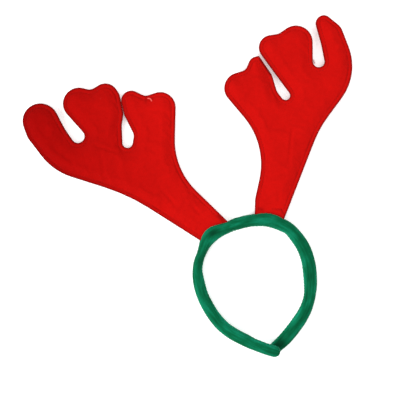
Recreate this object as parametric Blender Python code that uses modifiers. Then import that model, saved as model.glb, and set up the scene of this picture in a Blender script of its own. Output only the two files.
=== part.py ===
# Reindeer antler headband: a padded velour hoop with two top-stitched felt antlers.
# It lies on its back. +Z is up, out of its front face, and +Y runs from the crossed ends of
# the band to the antlers. The origin is under the crown of the band, on its flat underside.
# All sizes are in metres.
import math
from collections import namedtuple

import bmesh
import bpy
from mathutils import Vector, geometry

clearance = 0.0003        # air between two pieces that touch on the real thing

# Band
loop_radius = 0.062       # crown's middle line to the middle of the loop
band_depth = 0.0123        # from the inside of the loop to its outside
band_height = 0.014       # across the tube at the crown
end_height = 0.008        # across the tube at its two ends
end_round = 0.0058        # length of each rounded end
ring_spacing = 0.0044
ring_sides = 20
squareness = 2.4          # 2 is an ellipse, more is boxier
rest_squash = 0.05        # share of the height that the floor flattens

# Felt antlers
left_length, left_width = 0.220, 0.1303
right_length, right_width = 0.204, 0.1234
left_lean, right_lean = math.radians(35.0), math.radians(24.0)
left_seat, right_seat = math.radians(-22.7), math.radians(25.6)
left_rise, right_rise = -0.0024, 0.0003   # outline's zero line above the band's usual outside
lip = 0.0014              # one felt layer at the seam
padded = 0.0039           # one felt layer with its half of the wadding
seam_inset = 0.004        # edge to stitching
swell = 0.010             # stitching to full thickness
base_tuck = 0.003         # base inside the band
slot_room = 0.0004        # air round the base in its slot
slot_reach = 0.014        # from the bottom of a slot out past the band
base_flat = 0.005         # base left without wadding
base_swell = 0.030        # along the stem until the wadding is full
edge_step = 0.0068        # between points of an outline
fill_step = 0.0135        # between points inside it
arc_turn = math.radians(30)   # a round stretch has a point at each such turn
arc_run = 0.04            # or at each such share of the antler's length
crease_width = 0.0028

# Turns and lengths along the band are shares of half a turn from the crown, minus to the left.
# Radius and depth are shares of loop_radius and band_depth. Taper runs from band_height at 0
# to end_height at 1. Lift runs from the floor at 0 to clear of the other end at 1.
Section = namedtuple("Section", "name turn radius depth taper lift")
band_sections = (
    Section("left end", -1.024, 1.194, 0.95, 1.00, 1.00),
    Section("left tip", -1.000, 1.135, 0.96, 1.00, 1.00),
    Section("left lower", -0.917, 0.995, 1.01, 0.95, 0.96),
    Section("left bend", -0.833, 0.917, 1.08, 0.80, 0.78),
    Section("left calf", -0.667, 0.868, 1.05, 0.55, 0.20),
    Section("left hip", -0.583, 0.858, 1.03, 0.45, 0.06),
    Section("left side", -0.500, 0.878, 1.01, 0.35, 0.00),
    Section("left swell", -0.417, 0.915, 0.98, 0.25, 0.00),
    Section("left waist", -0.333, 0.968, 0.83, 0.15, 0.00),
    Section("left shoulder", -0.240, 1.003, 0.87, 0.06, 0.00),
    Section("left seat", -0.160, 1.052, 1.34, 0.00, 0.00),
    Section("left of crown", -0.078, 1.008, 1.06, 0.00, 0.00),
    Section("crown", 0.000, 0.994, 1.02, 0.00, 0.00),
    Section("right of crown", 0.072, 1.008, 1.07, 0.00, 0.00),
    Section("right seat", 0.150, 1.035, 1.22, 0.00, 0.00),
    Section("right shoulder", 0.250, 1.019, 1.09, 0.05, 0.00),
    Section("right swell", 0.333, 0.980, 1.12, 0.12, 0.00),
    Section("right side", 0.500, 0.901, 1.14, 0.35, 0.00),
    Section("right hip", 0.583, 0.889, 1.13, 0.45, 0.00),
    Section("right calf", 0.667, 0.905, 1.01, 0.55, 0.00),
    Section("right bend", 0.833, 0.948, 1.13, 0.80, 0.00),
    Section("right lower", 0.917, 1.016, 1.14, 0.95, 0.00),
    Section("right tip", 1.000, 1.122, 1.02, 1.00, 0.00),
    Section("right end", 1.028, 1.190, 0.96, 1.00, 0.00),
)

# Puckers of the cover: length is a share of loop_radius, dent of band_depth. Facing is a share
# of a turn round the tube: 0 outwards, 0.25 up, 0.5 into the loop.
Pucker = namedtuple("Pucker", "name turn length dent facing")
band_puckers = (
    Pucker("left seat inner end", -0.052, 0.050, 0.060, 0.00),
    Pucker("left seat outer end", -0.235, 0.045, 0.050, 0.00),
    Pucker("left step", -0.275, 0.040, 0.100, 0.02),
    Pucker("right seat inner end", 0.072, 0.045, 0.050, 0.00),
    Pucker("right seat outer end", 0.222, 0.040, 0.045, 0.03),
    Pucker("right inner fold", 0.262, 0.060, 0.080, 0.47),
    Pucker("left front fold", -0.400, 0.070, 0.045, 0.22),
    Pucker("right front fold", 0.430, 0.080, 0.045, 0.27),
    Pucker("left tip fold", -0.900, 0.050, 0.050, 0.45),
)

# An outline runs like a belt round circles, each at a share of the antler's length along it and
# across it, away from the other antler. Side 1 is felt inside the circle, a lobe; side -1 is
# felt outside it, a notch or a gap. A radius of 0 is a corner.
Turn = namedtuple("Turn", "name along across radius side")
left_outline = (
    Turn("base outer", 0.006, 0.080, 0.000, 1),
    Turn("stem outer", 0.170, 0.974, 0.8625, -1),
    Turn("outer tine back", 0.752, -0.014, 0.273, 1),
    Turn("outer tine shoulder", 0.884, 0.158, 0.076, 1),
    Turn("outer tine tip", 0.916, 0.133, 0.081, 1),
    Turn("outer tine inside", 0.675, -0.300, 0.412, -1),
    Turn("outer gap", 0.743, 0.077, 0.030, -1),
    Turn("middle tine top", 0.834, -0.041, 0.073, 1),
    Turn("middle notch", 0.868, -0.152, 0.042, -1),
    Turn("middle tine side", 0.764, -0.143, 0.060, 1),
    Turn("middle tine elbow", 0.673, -0.121, 0.0255, 1),
    Turn("inner gap top", 0.609, -0.100, 0.017, -1),
    Turn("inner gap", 0.552, -0.047, 0.024, -1),
    Turn("inner gap side", 0.580, -0.062, 0.040, -1),
    Turn("inner tine beak", 0.636, -0.149, 0.0145, 1),
    Turn("inner tine top", 0.662, -0.203, 0.046, 1),
    Turn("inner notch", 0.647, -0.291, 0.034, -1),
    Turn("inner tine side", 0.540, -0.266, 0.070, 1),
    Turn("stem inner", 0.150, -0.398, 0.318, -1),
    Turn("base inner", -0.027, -0.065, 0.000, 1),
)
right_outline = (
    Turn("base outer", -0.015, 0.078, 0.000, 1),
    Turn("stem outer", 0.266, 0.6945, 0.539, -1),
    Turn("outer tine back", 0.733, 0.025, 0.270, 1),
    Turn("outer tine shoulder", 0.907, 0.160, 0.066, 1),
    Turn("outer tine tip", 0.961, 0.121, 0.0385, 1),
    Turn("outer tine inside", 0.706, -0.2345, 0.391, -1),
    Turn("outer gap", 0.772, 0.127, 0.029, -1),
    Turn("middle tine top", 0.847, 0.001, 0.083, 1),
    Turn("middle notch", 0.917, -0.113, 0.047, -1),
    Turn("middle tine side", 0.804, -0.115, 0.060, 1),
    Turn("inner gap", 0.583, -0.007, 0.0225, -1),
    Turn("inner gap side", 0.643, 0.013, 0.080, -1),
    Turn("inner tine edge", 0.665, -0.099, 0.011, 1),
    Turn("inner tine beak", 0.744, -0.170, 0.008, 1),
    Turn("inner tine top", 0.709, -0.173, 0.039, 1),
    Turn("inner notch", 0.697, -0.251, 0.034, -1),
    Turn("inner tine side", 0.582, -0.2375, 0.075, 1),
    Turn("stem inner", 0.178, -0.4225, 0.353, -1),
    Turn("base bulge", 0.060, -0.036, 0.040, 1),
    Turn("base inner", -0.009, -0.066, 0.000, 1),
)

# Felt that bends up off the floor: place and reach are shares of the antler's length, rise is a
# share of its padded thickness.
Wave = namedtuple("Wave", "name along across reach rise")
left_waves = (
    Wave("outer tine tip", 0.97, 0.15, 0.13, 0.90),
    Wave("inner tine side", 0.53, -0.31, 0.10, 0.70),
    Wave("stem outer edge", 0.40, 0.17, 0.12, 0.40),
    Wave("middle tine top", 0.88, -0.05, 0.09, 0.35),
)
right_waves = (
    Wave("outer tine back", 0.70, 0.29, 0.20, 1.30),
    Wave("outer tine tip", 0.98, 0.14, 0.12, 0.60),
    Wave("inner tine side", 0.58, -0.28, 0.13, 1.10),
    Wave("middle tine side", 0.80, -0.15, 0.10, 0.45),
)

# Creases pressed into the wadding, from one place to another, in shares of the antler's length;
# depth is a share of the padded thickness.
Crease = namedtuple("Crease", "name along across to_along to_across depth")
left_creases = (
    Crease("base outer", 0.045, 0.040, 0.120, 0.050, 0.16),
    Crease("base middle", 0.040, 0.000, 0.150, -0.020, 0.20),
    Crease("stem", 0.200, 0.030, 0.330, 0.010, 0.10),
)
right_creases = (
    Crease("base outer", 0.030, 0.045, 0.105, 0.035, 0.22),
    Crease("base across", 0.075, -0.020, 0.085, 0.040, 0.16),
    Crease("stem", 0.240, 0.060, 0.420, 0.050, 0.12),
    Crease("fork", 0.480, 0.020, 0.560, 0.060, 0.12),
)

Antler = namedtuple("Antler", "name side length width lean seat rise outline waves creases")
antlers = (
    Antler("antler_left", -1, left_length, left_width, left_lean, left_seat, left_rise,
           left_outline, left_waves, left_creases),
    Antler("antler_right", 1, right_length, right_width, right_lean, right_seat, right_rise,
           right_outline, right_waves, right_creases),
)

loop_centre = Vector((0.0, -loop_radius))
mid_height = band_height / 2


def clear_scene():
    for thing in list(bpy.data.objects):
        bpy.data.objects.remove(thing, do_unlink=True)


def new_collection(name):
    collection = bpy.data.collections.new(name)
    bpy.context.scene.collection.children.link(collection)
    return collection


def cloth_material(name, colour, roughness):
    material = bpy.data.materials.new(name)
    material.use_nodes = True
    shader = material.node_tree.nodes["Principled BSDF"]
    shader.inputs["Base Color"].default_value = (*colour, 1.0)
    shader.inputs["Roughness"].default_value = roughness
    shader.inputs["Metallic"].default_value = 0.0
    return material


def mesh_object(name, mesh, collection, material=None):
    piece = bpy.data.objects.new(name, mesh)
    collection.objects.link(piece)
    if material:
        mesh.materials.append(material)
        mesh.shade_smooth()
        mesh.set_sharp_from_angle(angle=math.radians(50))
    return piece


def ease(share):
    share = min(1.0, max(0.0, share))
    return share * share * (3 - 2 * share)


def along_table(rows, column, turn):
    """Value of one column at a turn, on a smooth curve through the rows."""
    turns = [row.turn for row in rows]
    values = [getattr(row, column) for row in rows]
    last = len(rows) - 1
    low = max(i for i in range(last) if i == 0 or turns[i] <= turn)

    def slope(i):
        before, after = max(i - 1, 0), min(i + 1, last)
        return (values[after] - values[before]) / (turns[after] - turns[before])

    span = turns[low + 1] - turns[low]
    t = (turn - turns[low]) / span
    start = (2 * t**3 - 3 * t**2 + 1) * values[low] + (t**3 - 2 * t**2 + t) * span * slope(low)
    finish = (3 * t**2 - 2 * t**3) * values[low + 1] + (t**3 - t**2) * span * slope(low + 1)
    return start + finish


def band_point(turn):
    """Middle line of the band, seen from above."""
    angle = turn * math.pi
    radius = loop_radius * along_table(band_sections, "radius", turn)
    return loop_centre + radius * Vector((math.sin(angle), math.cos(angle)))


def ring_turns():
    """Turn of each ring, and its distance to the nearer end of the band."""
    samples = 1200
    first, last = band_sections[0].turn, band_sections[-1].turn
    turns = [first + (last - first) * i / samples for i in range(samples + 1)]
    lengths = [0.0]
    for a, b in zip(turns, turns[1:]):
        lengths.append(lengths[-1] + (band_point(b) - band_point(a)).length)
    total = lengths[-1]
    end_rings = [end_round * (1 - math.cos(math.radians(angle))) for angle in (16, 34, 52, 71)]
    count = round((total - 2 * end_round) / ring_spacing)
    middle = [end_round + (total - 2 * end_round) * i / count for i in range(count + 1)]
    stations = end_rings + middle + [total - length for length in reversed(end_rings)]
    rings = []
    for station in stations:
        i = next(k for k in range(samples) if lengths[k + 1] >= station)
        share = (station - lengths[i]) / (lengths[i + 1] - lengths[i])
        turn = turns[i] + (turns[i + 1] - turns[i]) * share
        rings.append((turn, min(station, total - station)))
    return rings


def pucker_share(turn, facing):
    """How far the puckers press the cover in, as a share of the band's depth."""
    total = 0.0
    for pucker in band_puckers:
        along = (turn - pucker.turn) * math.pi / pucker.length
        round_tube = math.cos(2 * math.pi * (facing - pucker.facing))
        total += pucker.dent * math.exp(-along * along) * max(0.0, round_tube) ** 2
    return total


def band_ring(turn, end_distance):
    """Points of one section of the tube, from its outer side over the top."""
    step = 1e-4
    heading = (band_point(turn + step) - band_point(turn - step)).normalized()
    outward = Vector((-heading.y, heading.x))
    taper = along_table(band_sections, "taper", turn)
    height = band_height + (end_height - band_height) * taper
    depth = band_depth * along_table(band_sections, "depth", turn)
    lift = (end_height + clearance) * max(0.0, along_table(band_sections, "lift", turn))
    closing = 1 - min(end_distance / end_round, 1.0)
    scale = math.sqrt(1 - closing * closing)
    middle = band_point(turn)
    floor = height * (rest_squash - 0.5)
    points = []
    for i in range(ring_sides):
        facing = (i + 0.5) / ring_sides
        c, s = math.cos(2 * math.pi * facing), math.sin(2 * math.pi * facing)
        press = 1 - 2 * pucker_share(turn, facing)
        out = math.copysign(abs(c) ** (2 / squareness), c) * depth / 2 * press
        up = math.copysign(abs(s) ** (2 / squareness), s) * height / 2
        up = max(up * press if s > 0 else up, floor)
        place = middle + outward * out * scale
        points.append((place.x, place.y, lift + up * scale - floor))
    return points


def make_band(collection, material):
    mesh = bpy.data.meshes.new("band")
    tube = bmesh.new()
    rings = [[tube.verts.new(point) for point in band_ring(*ring)] for ring in ring_turns()]
    for ring, following in zip(rings, rings[1:]):
        for i in range(ring_sides):
            j = (i + 1) % ring_sides
            tube.faces.new((ring[i], ring[j], following[j], following[i]))
    tube.faces.new(rings[0])
    tube.faces.new(rings[-1])
    bmesh.ops.recalc_face_normals(tube, faces=tube.faces)
    tube.to_mesh(mesh)
    tube.free()
    return mesh_object("band", mesh, collection, material)


def belt(turns):
    """Points of a closed belt round the turns' circles, as (across, along) shares."""
    headings = []
    for turn, following in zip(turns, turns[1:] + turns[:1]):
        run = Vector((following.across - turn.across, following.along - turn.along))
        growth = following.side * following.radius - turn.side * turn.radius
        straight = math.sqrt(max(run.length_squared - growth * growth, 0.0))
        headings.append(math.atan2(run.y, run.x) - math.atan2(growth, straight))
    points = []
    for i, turn in enumerate(turns):
        arriving, leaving = headings[i - 1], headings[i]
        sweep = (leaving - arriving) * turn.side % (2 * math.pi)
        centre = Vector((turn.across, turn.along))
        if turn.radius == 0:
            points.append(centre)
            continue
        pieces = max(2, round(sweep / arc_turn), round(sweep * turn.radius / arc_run))
        for k in range(pieces + 1):
            heading = arriving + turn.side * sweep * k / pieces
            points.append(centre + turn.side * turn.radius * Vector((math.sin(heading),
                                                                     -math.cos(heading))))
    return points


def antler_corners(antler):
    """Outline in metres, as (across, along), from the base's outer corner to its inner one."""
    points = belt(antler.outline)
    span = max(p.x for p in points) - min(p.x for p in points)
    points = [Vector((p.x * antler.width / span, p.y * antler.length)) for p in points]
    points[0].y -= base_tuck
    points[-1].y -= base_tuck
    return points


def antler_outline(antler):
    """The outline with its long runs cut into even steps."""
    points = antler_corners(antler)
    even = []
    for point, following in zip(points, points[1:] + points[:1]):
        run = following - point
        cuts = max(1, round(run.length / edge_step))
        even += [point + run * k / cuts for k in range(cuts)]
    return even


def edge_distance(point, outline):
    nearest = 1.0
    for a, b in zip(outline, outline[1:] + outline[:1]):
        run = b - a
        share = min(1.0, max(0.0, (point - a).dot(run) / run.length_squared))
        nearest = min(nearest, (a + run * share - point).length)
    return nearest


def is_inside(point, outline):
    inside = False
    for a, b in zip(outline, outline[1:] + outline[:1]):
        if (a.y > point.y) != (b.y > point.y):
            if point.x < a.x + (point.y - a.y) * (b.x - a.x) / (b.y - a.y):
                inside = not inside
    return inside


def felt_points(outline, antler):
    """Points inside the outline: two rows beside the edge, the creases, and a loose fill."""
    found = []

    def add(point, apart, margin):
        if all((point - other).length > apart for other in found):
            if is_inside(point, outline) and edge_distance(point, outline) > margin:
                found.append(point)

    for crease in antler.creases:
        start = Vector((crease.across, crease.along)) * antler.length
        finish = Vector((crease.to_across, crease.to_along)) * antler.length
        across = (finish - start).orthogonal().normalized() * crease_width
        for share in (0.0, 0.5, 1.0):
            for side in (0, 1, -1):
                add(start.lerp(finish, share) + across * side, crease_width / 2, seam_inset)
    count = len(outline)
    for inset in (seam_inset, seam_inset + swell / 2):
        for i, point in enumerate(outline):
            along = (outline[(i + 1) % count] - outline[i - 1]).normalized()
            inward = Vector((-along.y, along.x))
            add(point + inward * inset, edge_step * 0.55, inset * 0.96)
    rows = round(antler.length / fill_step) + 2
    for row in range(rows):
        for column in range(-rows, rows):
            shift = 0.5 * (row % 2)
            point = Vector(((column + shift) * fill_step, row * fill_step * math.sin(math.pi / 3)))
            add(point, fill_step * 0.6, seam_inset + swell)
    return found


def crease_share(point, antler):
    total = 0.0
    for crease in antler.creases:
        start = Vector((crease.across, crease.along)) * antler.length
        run = Vector((crease.to_across, crease.to_along)) * antler.length - start
        share = min(1.0, max(0.0, (point - start).dot(run) / run.length_squared))
        away = (start + run * share - point).length / crease_width
        total += crease.depth * math.exp(-away * away)
    return total


def felt_thickness(point, outline, antler):
    """One layer with its wadding: thin at the seam and the base, crowned between."""
    inward = (edge_distance(point, outline) - seam_inset) / swell
    upward = (point.y - base_flat) / base_swell
    fullness = math.sin(math.pi / 2 * min(1.0, max(0.0, inward))) * ease(upward)
    return lip + (padded * (1 - crease_share(point, antler)) - lip) * fullness


def middle_height(point, antler):
    """Height of the plane between the two layers: at the band's middle, then near the floor."""
    rest = padded + clearance / 2
    drop = ease((point.y - base_flat) / (antler.length * 0.36))
    height = mid_height + (rest - mid_height) * drop
    for wave in antler.waves:
        away = (point / antler.length - Vector((wave.across, wave.along))).length / wave.reach
        height += wave.rise * padded * math.exp(-away * away)
    return height


def antler_frame(antler):
    """Turns (across, along) into the part's own frame."""
    outward = Vector((math.sin(antler.seat), math.cos(antler.seat)))
    seat = band_point(antler.seat / math.pi) + outward * (band_depth / 2 + antler.rise)
    lean = antler.lean
    across = Vector((antler.side * math.cos(lean), -math.sin(lean)))
    along = Vector((antler.side * math.sin(lean), math.cos(lean)))
    return lambda point: seat + across * point.x + along * point.y


def make_layer(antler, name, facing, collection, material):
    """One felt layer as a sheet on the middle plane, thickened away from it by Solidify."""
    outline = antler_outline(antler)
    points = outline + felt_points(outline, antler)
    found = geometry.delaunay_2d_cdt(points, [], [list(range(len(outline)))], 1, 1e-7)
    place = antler_frame(antler)
    mesh = bpy.data.meshes.new(name)
    sheet = bmesh.new()
    corners = []
    thicknesses = []
    for point in found[0]:
        spot = place(point)
        height = middle_height(point, antler) + facing * clearance / 2
        corners.append(sheet.verts.new((spot.x, spot.y, height)))
        thickness = felt_thickness(point, outline, antler)
        thicknesses.append(thickness if facing > 0 else min(thickness, height))
    for triangle in found[2]:
        face = sheet.faces.new([corners[i] for i in triangle])
        face.normal_update()
        if face.normal.z * facing < 0:
            face.normal_flip()
    sheet.to_mesh(mesh)
    sheet.free()
    piece = mesh_object(name, mesh, collection, material)
    wadding = piece.vertex_groups.new(name="wadding")
    for i, thickness in enumerate(thicknesses):
        wadding.add([i], thickness / padded, "REPLACE")
    solid = piece.modifiers.new("felt and wadding", "SOLIDIFY")
    solid.thickness = padded
    solid.offset = 1.0
    solid.vertex_group = wadding.name
    solid.thickness_vertex_group = 0.0
    return piece


def slot_cutter(antler, collection):
    """The room that an antler's base takes in the band, with clearance all round."""
    corners = antler_corners(antler)
    outer, inner = corners[0], corners[-1]
    outer_top = outer + (corners[1] - outer).normalized() * slot_reach
    inner_top = inner + (corners[-2] - inner).normalized() * slot_reach
    shape = (
        outer + Vector((slot_room, -slot_room)),
        outer_top + Vector((slot_room, 0)),
        inner_top - Vector((slot_room, 0)),
        inner - Vector((slot_room, slot_room)),
    )
    place = antler_frame(antler)
    flat = bpy.data.curves.new(antler.name + "_slot", "CURVE")
    flat.dimensions = "2D"
    flat.fill_mode = "BOTH"
    flat.extrude = lip + clearance / 2 + slot_room
    line = flat.splines.new("POLY")
    line.points.add(len(shape) - 1)
    for point, corner in zip(line.points, shape):
        point.co = (*place(corner), 0, 1)
    line.use_cyclic_u = True
    guide = bpy.data.objects.new(flat.name, flat)
    guide.location.z = mid_height
    collection.objects.link(guide)
    bpy.context.view_layer.update()
    mesh = bpy.data.meshes.new_from_object(guide.evaluated_get(bpy.context.evaluated_depsgraph_get()))
    block = bmesh.new()
    block.from_mesh(mesh)
    bmesh.ops.remove_doubles(block, verts=block.verts, dist=1e-6)
    bmesh.ops.recalc_face_normals(block, faces=block.faces)
    block.to_mesh(mesh)
    block.free()
    cutter = bpy.data.objects.new(antler.name + "_slot_cutter", mesh)
    cutter.matrix_world = guide.matrix_world
    bpy.data.objects.remove(guide, do_unlink=True)
    collection.objects.link(cutter)
    cutter.hide_render = True
    cutter.display_type = "WIRE"
    return cutter


def build():
    clear_scene()
    parts = new_collection("reindeer_antler_headband")
    cutters = new_collection("cutters")
    velour = cloth_material("green_velour", (0.0076, 0.162, 0.072), 0.85)
    felt = cloth_material("red_felt", (0.53, 0.0036, 0.003), 0.95)
    band = make_band(parts, velour)
    for antler in antlers:
        cut = band.modifiers.new(antler.name + "_slot", "BOOLEAN")
        cut.object = slot_cutter(antler, cutters)
        make_layer(antler, antler.name + "_front", 1, parts, felt)
        make_layer(antler, antler.name + "_back", -1, parts, felt)


build()
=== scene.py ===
# Reindeer antler headband: padded velour band, two top-stitched felt antlers.
import math
import random

import bmesh
import bpy
import numpy as np
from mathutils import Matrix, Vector, geometry, kdtree, noise
from mathutils.bvhtree import BVHTree


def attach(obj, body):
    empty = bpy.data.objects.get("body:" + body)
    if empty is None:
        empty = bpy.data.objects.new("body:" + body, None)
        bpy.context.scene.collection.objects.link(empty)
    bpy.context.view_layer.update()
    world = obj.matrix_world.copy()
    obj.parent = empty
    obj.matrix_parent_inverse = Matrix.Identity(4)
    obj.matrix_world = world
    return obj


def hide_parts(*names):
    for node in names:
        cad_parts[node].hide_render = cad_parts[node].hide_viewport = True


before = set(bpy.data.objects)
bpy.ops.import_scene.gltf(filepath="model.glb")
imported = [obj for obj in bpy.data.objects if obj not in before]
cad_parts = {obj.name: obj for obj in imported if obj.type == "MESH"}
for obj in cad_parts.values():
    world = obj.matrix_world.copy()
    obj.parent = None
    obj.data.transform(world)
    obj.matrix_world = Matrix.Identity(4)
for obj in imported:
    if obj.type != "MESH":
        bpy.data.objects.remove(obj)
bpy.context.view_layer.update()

bpy.ops.object.select_all(action="DESELECT")
scene = bpy.context.scene
print("frame loaded:", sorted(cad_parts))

# What a user would change
camera = {
    "over": (-0.0323, 0.0320),      # point on the floor under the camera
    "turn": math.radians(-15),
    "width": 0.400,                 # what the picture takes in at the object's middle height
    "middleHeight": 0.006,
    "lens": 90.0, "sensor": 36.0,
}
light = {
    "keyFrom": (-0.70, -0.20, 0.62), "keySize": 0.60, "keyPower": 8.5,
    "fillFrom": (0.55, 0.35, 0.85), "fillSize": 0.9, "fillPower": 4.0,
    "room": 0.80, "floorGlow": 0.30,
}
band = {
    "loopRadius": 0.062, "height": 0.014, "endHeight": 0.008, "clearance": 0.0003,
    "voxel": 0.0011, "shrink": 0.00020, "pressure": 4.0, "cap": 0.0008,
    "seamDepth": 0.00055, "seamWidth": 0.0007,
    "ridge": 0.00018, "ridgeAway": 0.0016, "ridgeWidth": 0.0009,
    "gather": 0.00014, "gatherPitch": 0.0036, "gatherReach": 0.0036,
    "lumps": 0.00022, "tubeRadius": 0.0062, "texturedRadius": 0.006, "restHeight": 0.0006,
}
# Places of the cover round the antlers' bases: what keeps still and what is held open
slots = {
    "stillHalf": 0.0195, "stillFrom": -0.013, "stillTall": 0.0033,
    "openHalf": 0.0182, "openFrom": -0.0092, "air": 0.00035, "floorAir": 0.0002,
}
felt = {
    "lip": 0.0014, "padded": 0.0039, "seamInset": 0.004, "swell": 0.010,
    # the base goes into its slot by the tuck, less what keeps it off the slot's floor
    "baseTuck": 0.003, "baseShort": 0.0009, "baseFlat": 0.005, "baseSwell": 0.030,
    "clearance": 0.0003, "midHeight": 0.007,
    "edgeStep": 0.0012, "fillStep": 0.0017, "backStep": 0.006, "arcTurn": math.radians(5),
    "grooveDepth": 0.00034, "grooveWidth": 0.00055, "rimRound": 0.0003,
    "pucker": 0.00022, "puckerReach": 0.0045, "lumps": 0.00016,
    "creaseWidth": 0.0016, "pressure": 4.0, "cap": 0.0006, "looseness": 0.012,
    "bending": 1.5, "rimLift": 0.00016, "rimAway": 0.0020, "rimWidth": 0.0011,
    "thinnest": 0.0006, "stillBelow": 0.009, "sewnFrom": 0.004, "sharpAngle": math.radians(62),
    # rows of points beside the edge, close together where the rim, seam and pad meet
    "insets": (0.0003, 0.0008, 0.0014, 0.0020, 0.0026, 0.0031, 0.0035, 0.0039, 0.0043, 0.0048,
               0.0055, 0.0064, 0.0076),
}
stitch = {
    "pitch": 0.0031, "length": 0.0022, "radius": 0.00022, "sink": 0.00012, "start": 0.001,
    "cuts": (-0.42, -0.2, 0.0, 0.2, 0.42),
}
clothRun = {"quality": 4, "mass": 0.3, "stiffness": 15, "frames": 20}

# Band's middle line: turn from the crown in shares of half a turn, radius in shares of the
# loop's, taper from full height to end height, lift from the floor to over the other end.
bandLine = (
    # turn, radius, taper, lift
    (-1.024, 1.194, 1.00, 1.00), (-1.000, 1.135, 1.00, 1.00), (-0.917, 0.995, 0.95, 0.96),
    (-0.833, 0.917, 0.80, 0.78), (-0.667, 0.868, 0.55, 0.20), (-0.583, 0.858, 0.45, 0.06),
    (-0.500, 0.878, 0.35, 0.00), (-0.417, 0.915, 0.25, 0.00), (-0.333, 0.968, 0.15, 0.00),
    (-0.240, 1.003, 0.06, 0.00), (-0.160, 1.052, 0.00, 0.00), (-0.078, 1.008, 0.00, 0.00),
    (0.000, 0.994, 0.00, 0.00), (0.072, 1.008, 0.00, 0.00), (0.150, 1.035, 0.00, 0.00),
    (0.250, 1.019, 0.05, 0.00), (0.333, 0.980, 0.12, 0.00), (0.500, 0.901, 0.35, 0.00),
    (0.583, 0.889, 0.45, 0.00), (0.667, 0.905, 0.55, 0.00), (0.833, 0.948, 0.80, 0.00),
    (0.917, 1.016, 0.95, 0.00), (1.000, 1.122, 1.00, 0.00), (1.028, 1.190, 1.00, 0.00),
)
# Seam of the cover, on the inner side: turn, and where round the tube (0.25 up, 0.5 inwards).
seamLine = ((-1.03, 0.47), (-0.80, 0.42), (-0.62, 0.41), (-0.45, 0.47), (-0.20, 0.52),
            (0.20, 0.52), (0.50, 0.50), (1.03, 0.52))
# Places where the velour is made darker or lighter: the spots at the antlers' bases and under the
# left end are painted shade and painted shadow, the others are lighter and darker patches of the
# pile: row x, y in mm, reach along and across, amount.
velourTonesAndShade = (
    ("left base hollow", -29.0, -2.5, 7.5, 3.0, -1.1),
    ("left base corner", -15.8, 4.8, 4.2, 2.0, -1.0),
    ("right base", 28.0, 1.0, 7.0, 3.0, -0.35),
    ("crown", 4.0, 0.5, 16.0, 3.0, 0.30),
    ("left arm", -56.0, -70.0, 22.0, 3.0, 0.35),
    ("right arm", 57.0, -62.0, 24.0, 3.0, -0.25),
    ("right low arm", 34.0, -112.0, 20.0, 4.5, -0.55),
    ("left low arm", -24.0, -121.0, 18.0, 3.5, -0.25),
    ("under the left end", 8.2, -127.6, 5.0, 4.5, -1.3),
)

# Lint: a short curl of thread on the left inner tine and a wisp in the right outer gap, in mm.
lint = {
    "thread": {"radius": 0.00062, "route": (
        # x, y, height over the felt
        (-56.5, 143.6, 0.2), (-54.7, 142.9, 0.7), (-53.6, 141.4, 0.8), (-53.4, 139.6, 0.2))},
    "wisp": {"place": (114.0, 136.1, 2.6), "spread": (0.35, 1.5, 0.8), "count": 26,
             "radius": 0.00006, "shortest": 0.0018, "longest": 0.0040, "lowest": 0.0003,
             "wave": 0.0006},
}

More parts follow.
